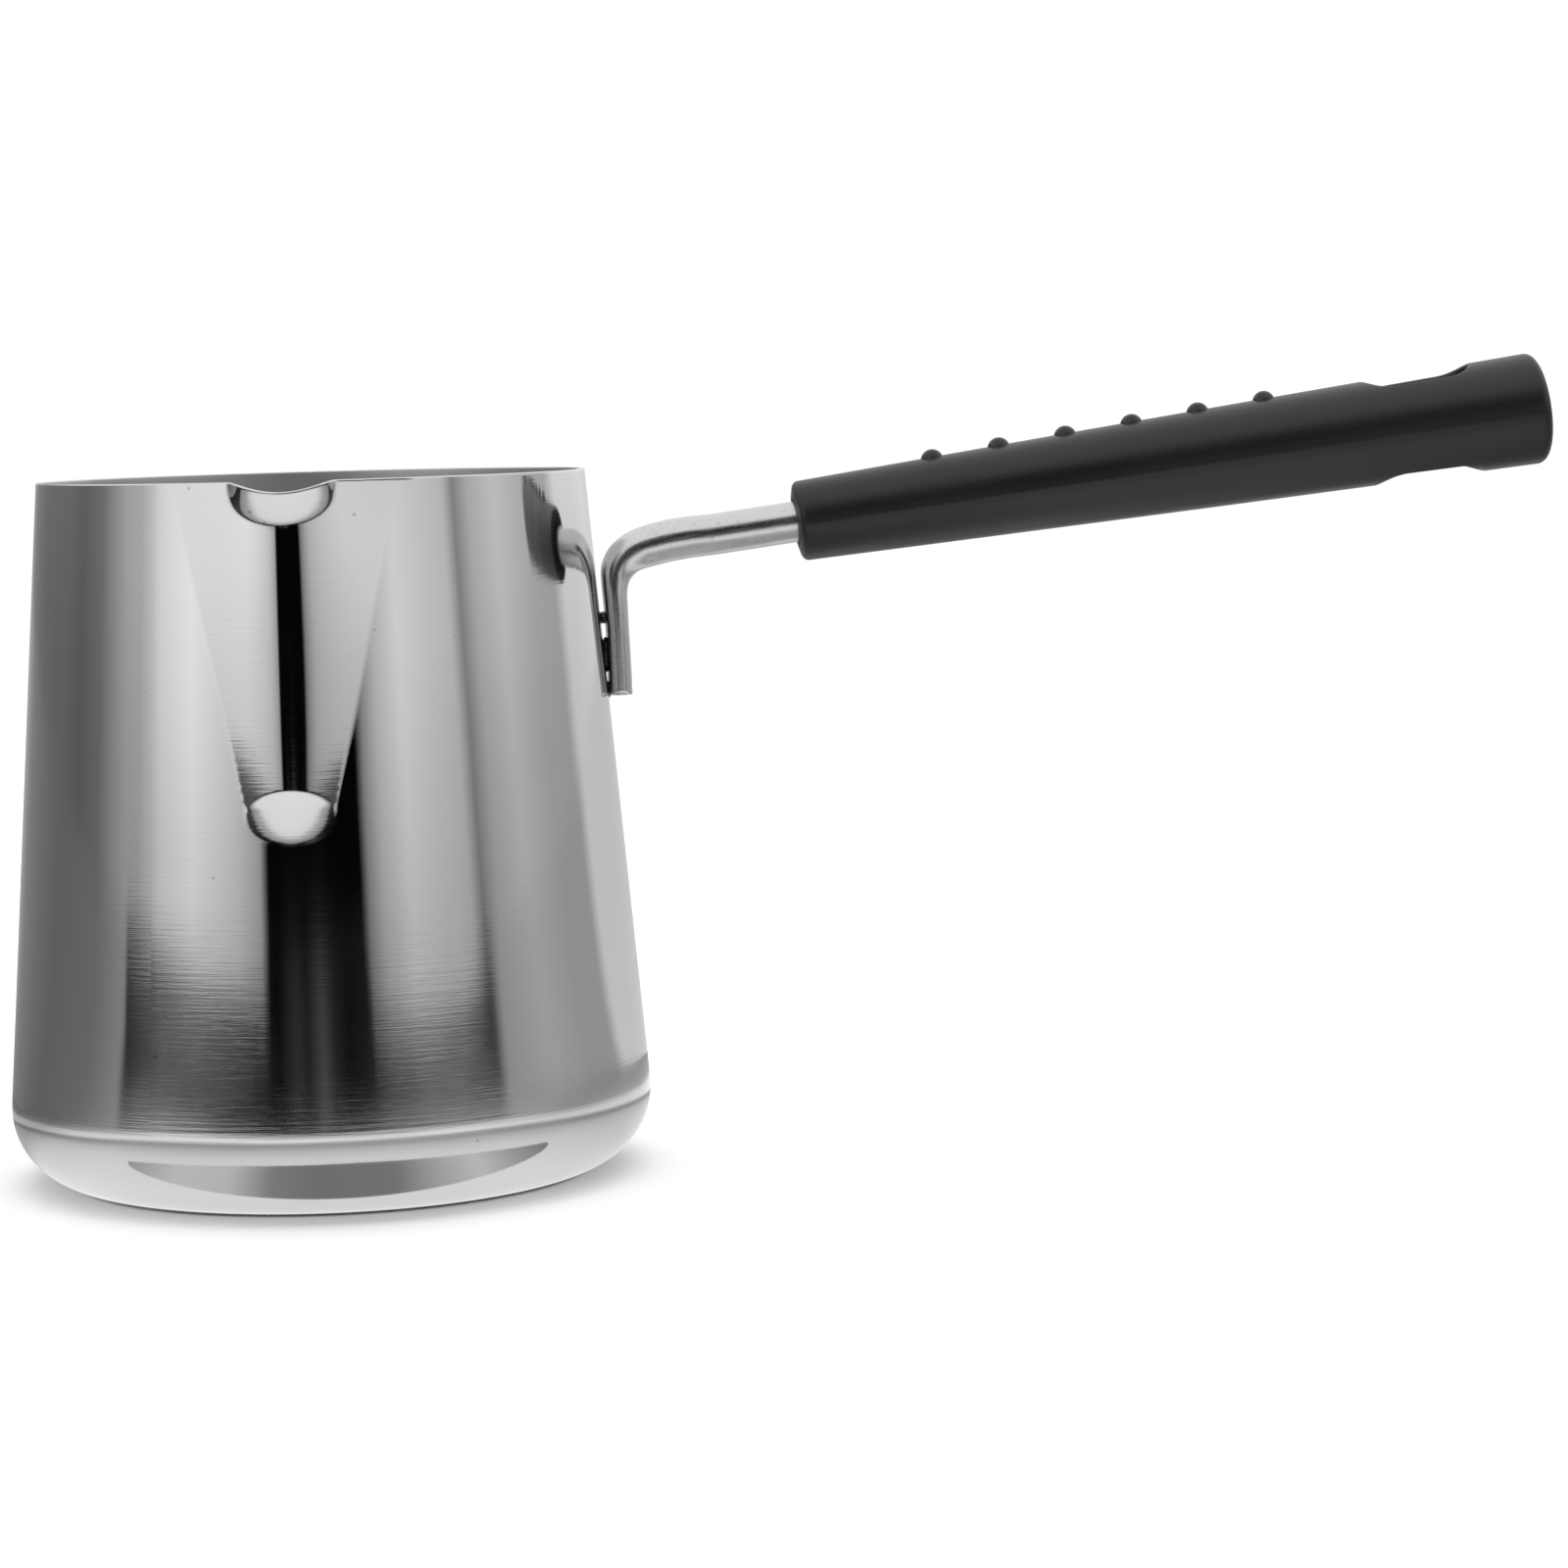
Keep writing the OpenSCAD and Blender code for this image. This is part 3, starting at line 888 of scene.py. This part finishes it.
class MESH_OT_moulded_grip(bpy.types.Operator):
    """Builds the moulded grip with its slot, parting line and raised dots"""

    bl_idname = "mesh.melting_pot_grip"
    bl_label = "Moulded grip"

    def execute(self, context):
        h = context.scene.handle_sizes
        shape = GripShape(h)
        profile = shape.profile()
        rows, cols = len(profile), 144
        turn = 2 * np.pi * np.arange(cols) / cols
        s = profile[:, :1] * np.ones(cols)
        r = profile[:, 1:] * np.ones(cols)
        x, y = r * np.cos(turn), -r * np.sin(turn)
        # parting line: a low ridge round both sides, a little below the middle
        side = (profile[:, 1] > h.grip_near * 0.9)[:, None]
        for line in (math.radians(94), math.radians(266)):
            ridge = 0.07 * MM * np.exp(-((turn - line) / math.radians(1.4))**2)[None, :]
            x = x + np.where(side, ridge * np.cos(turn), 0)
            y = y - np.where(side, ridge * np.sin(turn), 0)
        v = along(profile)
        u = np.linspace(0, 2 * math.pi * h.grip_near, cols + 1)
        rings = shape.place(s, x, y)
        tip = shape.place(np.array([h.grip_length]), np.zeros(1), np.zeros(1))[0]
        bore_end = shape.place(np.array([shape.bore_end]), np.zeros(1), np.zeros(1))[0]
        points, faces, uv = skin(rings, u, v, start=bore_end, end=tip)
        points, faces, uv = self.cut_slot(shape, profile, turn, points, faces, uv)
        black = moulded_black(
            "moulded_black_polypropylene", grain_depth=30e-6, rough_low=0.36, rough_high=0.42
        )
        grip = put_mesh("moulded_grip", points, faces, uv, black)
        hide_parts("grip")
        self.dots(h, shape)
        return {"FINISHED"}

    def cut_slot(self, shape, profile, turn, points, faces, uv):
        """Opens a window over and under the slot and sews the slot's walls between them."""
        h = shape.h
        cols = len(turn)
        reach = h.slot_length / 2 + 2.2 * MM
        on_side = np.where(
            (np.abs(profile[:, 0] - h.slot_at) < reach) & (profile[:, 1] > h.grip_near)
        )[0]
        i0, i1 = on_side[0], on_side[-1]
        across = int(math.ceil(math.asin((h.slot_width / 2 + 1.9 * MM) / h.grip_far)
                               / (2 * math.pi / cols)))
        kept, kept_uv, at = [], [], 0
        for face in faces:
            i, j = min(face) // cols, face[0] % cols
            top = (j < across or j >= cols - across)
            low = (cols // 2 - across <= j < cols // 2 + across)
            gone = len(face) == 4 and i0 <= i < i1 and (top or low)
            if not gone:
                kept.append(face)
                kept_uv.append(uv[at:at + len(face)])
            at += len(face)
        # window corners, counter-clockwise seen from above, as grid indices
        ahead = [(i, across) for i in range(i0, i1)]
        left = [(i1, j) for j in range(across, -across, -1)]
        back = [(i, -across) for i in range(i1, i0, -1)]
        right = [(i0, j) for j in range(-across, across)]
        loop = np.array(ahead + left + back + right)
        window = np.stack(
            [profile[loop[:, 0], 0],
             -profile[loop[:, 0], 1] * np.sin(2 * np.pi * loop[:, 1] / cols)], -1
        )
        upper = slot_patch(shape, window, 4)
        lower = upper[:-1][::-1] * np.array([1, -1, 1])
        rings = np.vstack([upper, lower])
        placed = shape.place(rings[..., 0], rings[..., 1], rings[..., 2])
        first = loop[:, 0] * cols + loop[:, 1] % cols
        last = loop[:, 0] * cols + (cols // 2 - loop[:, 1]) % cols
        base = len(points)
        n = len(loop)
        ids = np.vstack([first, base + np.arange(placed.shape[0] * n).reshape(-1, n), last])
        on = np.roll(ids, -1, axis=1)
        quads = np.stack([ids[:-1], on[:-1], on[1:], ids[1:]], -1).reshape(-1, 4)
        everything = np.vstack([points, placed.reshape(-1, 3)])
        run = np.arange(n) * 0.0005
        lane = np.arange(ids.shape[0] - 1)[:, None] * 0.0005 + 0.3
        a, b = np.broadcast_to(run, (len(lane), n)), np.broadcast_to(lane, (len(lane), n))
        patch_uv = np.stack(
            [np.stack([a, b], -1), np.stack([a + 0.0005, b], -1),
             np.stack([a + 0.0005, b + 0.0005], -1), np.stack([a, b + 0.0005], -1)], 2
        ).reshape(-1, 2)
        return everything, kept + quads.tolist(), np.vstack(kept_uv + [patch_uv])

    def dots(self, h, shape):
        """Raised dots: ball caps that meet the grip in a small hollow fillet."""
        glossy = moulded_black(
            "polished_black_dots", grain_depth=2e-6, rough_low=0.16, rough_high=0.2
        )
        rows, cols = 14, 40
        all_points, all_faces, all_uv = [], [], []
        count = 0
        turn = 2 * np.pi * np.arange(cols) / cols
        for k in range(h.dots):
            at = h.first_dot + k * h.dot_pitch
            top = shape.radius(np.array([at]))[0] + h.dot_height
            centre = top - h.dot_ball
            a = np.linspace(math.radians(78), math.radians(9), rows)[:, None]
            out = h.dot_ball * np.sin(a)
            up = centre + h.dot_ball * np.cos(a) * np.ones(cols)
            skirt = h.dot_ball * np.sin(a[:1]) + np.array([[0.7], [0.25]]) * MM
            drop = up[:1] - np.array([[0.75], [0.3]]) * MM
            out = np.vstack([skirt, out])
            up = np.vstack([drop, up])
            s = at + out * np.cos(turn)
            y = out * np.sin(turn)
            rings = shape.place(s, up, y)
            pole = shape.place(np.array([at]), np.array([top]), np.zeros(1))[0]
            foot = shape.place(np.array([at]), up[:1, 0] - 0.4 * MM, np.zeros(1))[0]
            u = np.linspace(0, 0.013, cols + 1)
            v = np.linspace(0, 0.004, len(rings))
            points, faces, uv = skin(rings, u, v, start=foot, end=pole, start_index=count)
            all_points.append(points)
            all_faces += faces
            all_uv.append(uv)
            count += len(points)
        dots = put_mesh(
            "raised_dots", np.vstack(all_points), all_faces, np.vstack(all_uv), glossy
        )


# ---------------------------------------------------------------- studio


# Brightness of the light wall round the room, by turn from the camera's side towards the
# handle: two tall soft boxes, grey flats between them and a dark gap for the camera.
WALL_LIGHT = (
    (-180, 0.60), (-158, 0.27), (-140, 0.20), (-118, 0.18), (-106, 0.145), (-94, 0.20),
    (-80, 0.46), (-73, 0.50), (-63, 0.85), (-50, 1.00), (-33, 0.72), (-24, 0.46),
    (-21.5, 0.001), (13, 0.001), (15.5, 0.28), (21, 0.56), (31, 0.80), (42, 0.70), (54, 0.60),
    (59, 0.27), (66, 0.50), (79, 0.66), (96, 0.53), (112, 0.50), (119, 0.86), (150, 0.92),
    (180, 0.60),
)
# The same just over the floor, where the table ends in front and the room is dark.
FRONT_DARK = (
    (-180, 0.60), (-150, 0.28), (-118, 0.18), (-93, 0.22), (-79, 0.34), (-77.5, 0.02),
    (-62, 0.08), (-50, 0.10), (-36, 0.05), (-26, 0.012), (-18, 0.0), (-12, 0.035),
    (-8, 0.012), (-3, 0.08), (1, 0.02), (6, 0.002), (14, 0.01), (22, 0.06), (34, 0.12),
    (50, 0.07), (60, 0.04), (64, 0.42), (82, 0.56), (100, 0.46), (114, 0.46), (120, 0.84),
    (180, 0.60),
)
# Height on the light wall where it takes over from the dark of the room, by turn
WALL_FOOT = (
    (-180, 0.050), (-78, 0.054), (-30, 0.064), (-21, 0.066), (-19, 0.105), (13, 0.105),
    (15, 0.064), (30, 0.052), (48, 0.038), (60, 0.054), (180, 0.050),
)
# Brightness of the white table top, painted light in its glow: by distance from the pot's axis as
# far as the round part under the corner, then by the share of the way from there to the table's
# edge, which ends in a thin painted dark line for the shade at the edge
TABLE_ROUND = ((0.0462, 0.95), (0.0540, 1.10), (0.0650, 1.05), (0.0780, 0.95), (0.0900, 0.80))
TABLE_OPEN = (
    (0.04, 0.50), (0.08, 0.50), (0.16, 1.20), (0.42, 1.10), (0.58, 0.55), (0.97, 0.40),
    (0.98, 0.10), (1.0, 0.10),
)
# Distance from the pot's axis to the table's edge, by turn: two slanted sides
TABLE_EDGE = (
    (-180, 0.12), (-150, 0.13), (-128, 0.15), (-114, 0.20), (-98, 0.27), (-85, 0.36),
    (-73, 0.49), (-60, 0.75), (-45, 0.90), (45, 0.90), (60, 0.75), (78, 0.48), (91, 0.37),
    (101, 0.32), (125, 0.22), (150, 0.15), (180, 0.12),
)
# Share of its brightness that the table has, by turn
TABLE_LIGHT = (
    (-180, 0.7), (-130, 0.45), (-104, 0.50), (-84, 0.85), (-60, 1.0), (40, 1.0), (80, 0.80),
    (110, 0.85), (150, 0.95), (180, 0.7),
)
# The contact shadow in front of the pot: its two edges, its turns, and its tone by turn
SHADOW_IN, SHADOW_OUT = 0.0522, 0.0705
SHADOW_MIDDLE, SHADOW_HALF = 1, 50
SHADOW_TONE = (
    (-50, 0.45), (-34, 0.80), (-22, 0.75), (-13, 0.32), (-4, 0.26), (12, 0.28), (20, 0.55),
    (30, 0.80), (40, 0.50), (50, 0.30),
)


def turn_stops(pairs):
    """Turns from -180 to 180 degrees as places from 0 to 1."""
    return tuple((0.5 + turn / 360, float(value)) for turn, value in pairs)


def reflection_card(name, points, faces, corner_uv, material):
    """A stage surface that only reflections see."""
    card = put_mesh(name, points, faces, corner_uv, material, body=None, smooth=False)
    card.visible_camera = False
    card.visible_diffuse = False
    card.visible_shadow = False
    card.visible_transmission = False


def round_rings(radii, heights, cols):
    """Rings round the pot's axis; turn 0 is the camera's side, -Y, and grows towards +X."""
    a = 2 * np.pi * np.arange(cols) / cols - np.pi
    radii, heights = np.asarray(radii)[:, None], np.asarray(heights)[:, None]
    return np.stack(
        [radii * np.sin(a), -radii * np.cos(a), heights * np.ones(cols)], axis=-1
    )


def light_tent(radius):
    """The floor past the table and the round light wall, seen by reflections only.

    Rows run outwards over the floor and then up the wall; u is the turn from the camera's
    side, and v is the height above the floor.
    """
    material, tree, output = start_material("light_wall")
    parts = add(tree, "ShaderNodeSeparateXYZ", {"Vector": uv_place(tree)})
    turn, up = parts.outputs[0], parts.outputs[1]
    wall = ramp(tree, turn, turn_stops(WALL_LIGHT))
    front = ramp(tree, turn, turn_stops(FRONT_DARK))
    # the wall takes over from the dark within 16 mm round its foot
    above = maths(tree, "SUBTRACT", up, ramp(tree, turn, turn_stops(WALL_FOOT)))
    low_mix = add(
        tree, "ShaderNodeMixRGB",
        {"Fac": smooth_range(tree, above, -0.002, 0.014), "Color1": front, "Color2": wall},
    )
    # high up it turns into an even ceiling
    all_mix = add(
        tree, "ShaderNodeMixRGB",
        {"Fac": smooth_range(tree, up, 0.5, 1.3), "Color1": low_mix.outputs[0],
         "Color2": (0.9, 0.9, 0.9, 1)},
    )
    # and it is nearly a third brighter from 320 mm up
    gain = smooth_range(tree, up, 0.09, 0.32, 1.0, 1.3)
    glow(tree, output, all_mix.outputs[0], gain)
    heights = [0.0001, 0.0001, 0.0006, 0.2, 0.8, 2.4]
    rings = round_rings([0.08, 0.8, radius, radius, radius, radius], heights, 360)
    reflection_card(
        "light_wall", *skin(rings, np.linspace(0, 1, 361), np.array(heights)), material
    )


def maths(tree, operation, first, second=0.5, third=0.5):
    """One sum on values or outputs."""
    return add(
        tree, "ShaderNodeMath", {0: first, 1: second, 2: third}, operation=operation
    ).outputs[0]


def table_top():
    """The white table top, seen by reflections only: a glowing card, its brightness painted light
    and its contact shadow painted shade; v counts its rows.

    The contact shadow is a lens between a circle and an arch:
    inner edge = out - (out - in) sqrt(1 - (turn / half)^2).
    """
    material, tree, output = start_material("glowing_table_top")
    parts = add(tree, "ShaderNodeSeparateXYZ", {"Vector": uv_place(tree)})
    turn, row = parts.outputs[0], parts.outputs[1]
    rows = len(TABLE_ROUND) + len(TABLE_OPEN)
    tones = [tone for _, tone in TABLE_ROUND + TABLE_OPEN]
    tone = ramp(tree, row, tuple((i / (rows - 1), t) for i, t in enumerate(tones)))
    tone = mixed(tree, tone, ramp(tree, turn, turn_stops(TABLE_LIGHT)))
    aside = maths(
        tree, "MULTIPLY_ADD", turn, 360 / SHADOW_HALF, -(180 + SHADOW_MIDDLE) / SHADOW_HALF
    )
    under = maths(tree, "SUBTRACT", 1.0, maths(tree, "MULTIPLY", aside, aside))
    arch = maths(tree, "SQRT", maths(tree, "MAXIMUM", under, 0.0))
    place = add(
        tree, "ShaderNodeVectorMath", {0: object_place(tree)}, operation="LENGTH"
    ).outputs["Value"]
    inner = maths(tree, "MULTIPLY_ADD", arch, SHADOW_IN - SHADOW_OUT, SHADOW_OUT)
    past_inner = maths(tree, "SUBTRACT", place, inner)
    before_outer = maths(tree, "SUBTRACT", SHADOW_OUT, place)
    # its edges are 0.6 mm soft
    lens = smooth_range(
        tree, maths(tree, "MINIMUM", past_inner, before_outer), 0.0, 0.0006
    )
    # tone of the painted contact shadow, by turn
    shadow = ramp(tree, turn, turn_stops(SHADOW_TONE))
    tone = add(
        tree, "ShaderNodeMixRGB", {"Fac": lens, "Color1": tone, "Color2": shadow}
    ).outputs[0]
    glow(tree, output, tone)
    bearing = np.arange(360) - 180
    edge = np.interp(bearing, *np.array(TABLE_EDGE).T)[None, :]
    round_part = np.array([r for r, _ in TABLE_ROUND])[:, None] * np.ones((1, 360))
    way = np.array([share_out for share_out, _ in TABLE_OPEN])[:, None]
    radii = np.vstack([round_part, round_part[-1] + way * (edge - round_part[-1])])
    a = np.radians(bearing)
    rings = np.stack([radii * np.sin(a), -radii * np.cos(a), np.full_like(radii, 0.0003)], -1)
    reflection_card(
        "glowing_table_top", *skin(rings, np.linspace(0, 1, 361), np.linspace(0, 1, rows)),
        material,
    )


def camera_gap(radius):
    """The unlit space over the camera, between the soft boxes, seen by reflections only."""
    material, tree, output = start_material("unlit_gap")
    glow(tree, output, (0.004, 0.004, 0.004, 1))
    turn = np.radians(np.linspace(-18, 42, 31))
    heights = np.array([0.45, 0.9, 1.3, 1.62])
    reach = 0.95 * radius
    rows, cols = len(heights), len(turn)
    points = np.stack([
        np.broadcast_to(reach * np.sin(turn), (rows, cols)),
        np.broadcast_to(-reach * np.cos(turn), (rows, cols)),
        np.broadcast_to(heights[:, None], (rows, cols)),
    ], -1).reshape(-1, 3)
    i, j = np.arange(rows - 1)[:, None] * cols, np.arange(cols - 1)[None, :]
    faces = np.stack([i + j, i + j + cols, i + j + cols + 1, i + j + 1], -1).reshape(-1, 4)
    uv = np.zeros((4 * len(faces), 2))
    reflection_card("unlit_gap", points, faces.tolist(), uv, material)


def pale_floor(tone):
    """A wide matt floor, 0.2 mm below the base so that nothing flickers between them."""
    material, tree, output = start_material("painted_floor")
    cloud = noise(tree, object_place(tree), 3.0)
    tint = mixed(tree, (*tone, 1), ramp(tree, cloud, ((0.3, 0.985), (0.7, 1.0))))
    close_material(tree, output, add(
        tree, "ShaderNodeBsdfPrincipled",
        {"Base Color": tint, "Roughness": 0.9, "Specular IOR Level": 0.1},
    ))
    half = 12.0
    corners = np.array([[-half, -half, 0], [half, -half, 0], [half, half, 0], [-half, half, 0]])
    corners[:, 2] = -0.2 * MM
    floor = put_mesh("pale_floor", corners, [[0, 1, 2, 3]], corners[:, :2], material, body=None)


class SCENE_OT_melting_pot_studio(bpy.types.Operator):
    """Builds the floor, the soft light and the camera"""

    bl_idname = "scene.melting_pot_studio"
    bl_label = "Studio"

    def execute(self, context):
        scene, studio = context.scene, context.scene.studio_sizes
        pale_floor(scene.pot_finishes.floor)
        light_tent(studio.tent_radius)
        table_top()
        camera_gap(studio.tent_radius)
        self.sky(scene, studio)
        self.top_light(scene, studio)
        self.camera(scene, studio)
        scene.view_settings.view_transform = "Standard"
        return {"FINISHED"}

    def sky(self, scene, studio):
        """An even white room."""
        world = bpy.data.worlds.new("white_room")
        world.use_nodes = True
        world.node_tree.nodes.clear()
        tree = world.node_tree
        room = add(
            tree, "ShaderNodeBackground",
            {"Color": (1.0, 1.0, 1.0, 1.0), "Strength": studio.sky},
        )
        out = add(tree, "ShaderNodeOutputWorld")
        tree.links.new(room.outputs[0], out.inputs["Surface"])
        scene.world = world

    def top_light(self, scene, studio):
        """One large soft box overhead, a little behind the pot, kept out of reflections."""
        lamp = bpy.data.lights.new("soft_box", "AREA")
        lamp.shape = "SQUARE"
        lamp.size = 1.4
        lamp.energy = studio.top_watts
        box = bpy.data.objects.new("soft_box", lamp)
        box.matrix_world = (
            Matrix.Translation((0.1, 0.15, 1.3)) @ Matrix.Rotation(math.radians(-6), 4, "X")
        )
        box.visible_glossy = False
        box.visible_camera = False
        scene.collection.objects.link(box)

    def camera(self, scene, studio):
        """Looks along (sin pan cos tilt, cos pan cos tilt, -sin tilt), rolled about that line."""
        pan, tilt, roll = studio.pan, studio.tilt, studio.roll
        ahead = Vector((math.sin(pan) * math.cos(tilt), math.cos(pan) * math.cos(tilt),
                        -math.sin(tilt)))
        right = Vector((math.cos(pan), -math.sin(pan), 0))
        up = right.cross(ahead)
        rolled_right = right * math.cos(roll) + up * math.sin(roll)
        rolled_up = up * math.cos(roll) - right * math.sin(roll)
        lens = bpy.data.cameras.new("camera")
        lens.lens = studio.lens
        lens.sensor_width = 36
        lens.clip_start = 0.05
        lens.clip_end = 60
        eye = bpy.data.objects.new("camera", lens)
        turn = Matrix((rolled_right, rolled_up, -ahead)).transposed().to_4x4()
        eye.matrix_world = Matrix.Translation((0, -studio.distance, studio.eye)) @ turn
        scene.collection.objects.link(eye)
        scene.camera = eye


# ---------------------------------------------------------------- add-on


STEPS = (
    MESH_OT_melting_pot, MESH_OT_handle_tube, MESH_OT_weld_beads, MESH_OT_moulded_grip,
    SCENE_OT_melting_pot_studio,
)


class VIEW3D_PT_melting_pot(bpy.types.Panel):
    """Sizes and steps of the melting pot"""

    bl_label = "Melting pot"
    bl_space_type = "VIEW_3D"
    bl_region_type = "UI"
    bl_category = "Melting pot"

    def draw(self, context):
        for step in STEPS:
            self.layout.operator(step.bl_idname)
        for group in (context.scene.pot_sizes, context.scene.handle_sizes,
                      context.scene.pot_finishes, context.scene.studio_sizes):
            box = self.layout.box()
            for name in group.bl_rna.properties.keys():
                if name not in ("rna_type", "name"):
                    box.prop(group, name)


GROUPS = {
    "pot_sizes": PotSizes,
    "handle_sizes": HandleSizes,
    "pot_finishes": Finishes,
    "studio_sizes": StudioSizes,
}


def register():
    for group in GROUPS.values():
        bpy.utils.register_class(group)
    for step in STEPS:
        bpy.utils.register_class(step)
    bpy.utils.register_class(VIEW3D_PT_melting_pot)
    for name, group in GROUPS.items():
        setattr(bpy.types.Scene, name, PointerProperty(type=group))


def unregister():
    for name in GROUPS:
        delattr(bpy.types.Scene, name)
    bpy.utils.unregister_class(VIEW3D_PT_melting_pot)
    for step in reversed(STEPS):
        bpy.utils.unregister_class(step)
    for group in reversed(list(GROUPS.values())):
        bpy.utils.unregister_class(group)


def main():
    """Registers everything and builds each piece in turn."""
    register()
    bpy.ops.mesh.melting_pot_body()
    bpy.ops.mesh.melting_pot_tube()
    bpy.ops.mesh.melting_pot_welds()
    bpy.ops.mesh.melting_pot_grip()
    bpy.ops.scene.melting_pot_studio()
    bpy.context.view_layer.update()


if __name__ == "__main__":
    main()
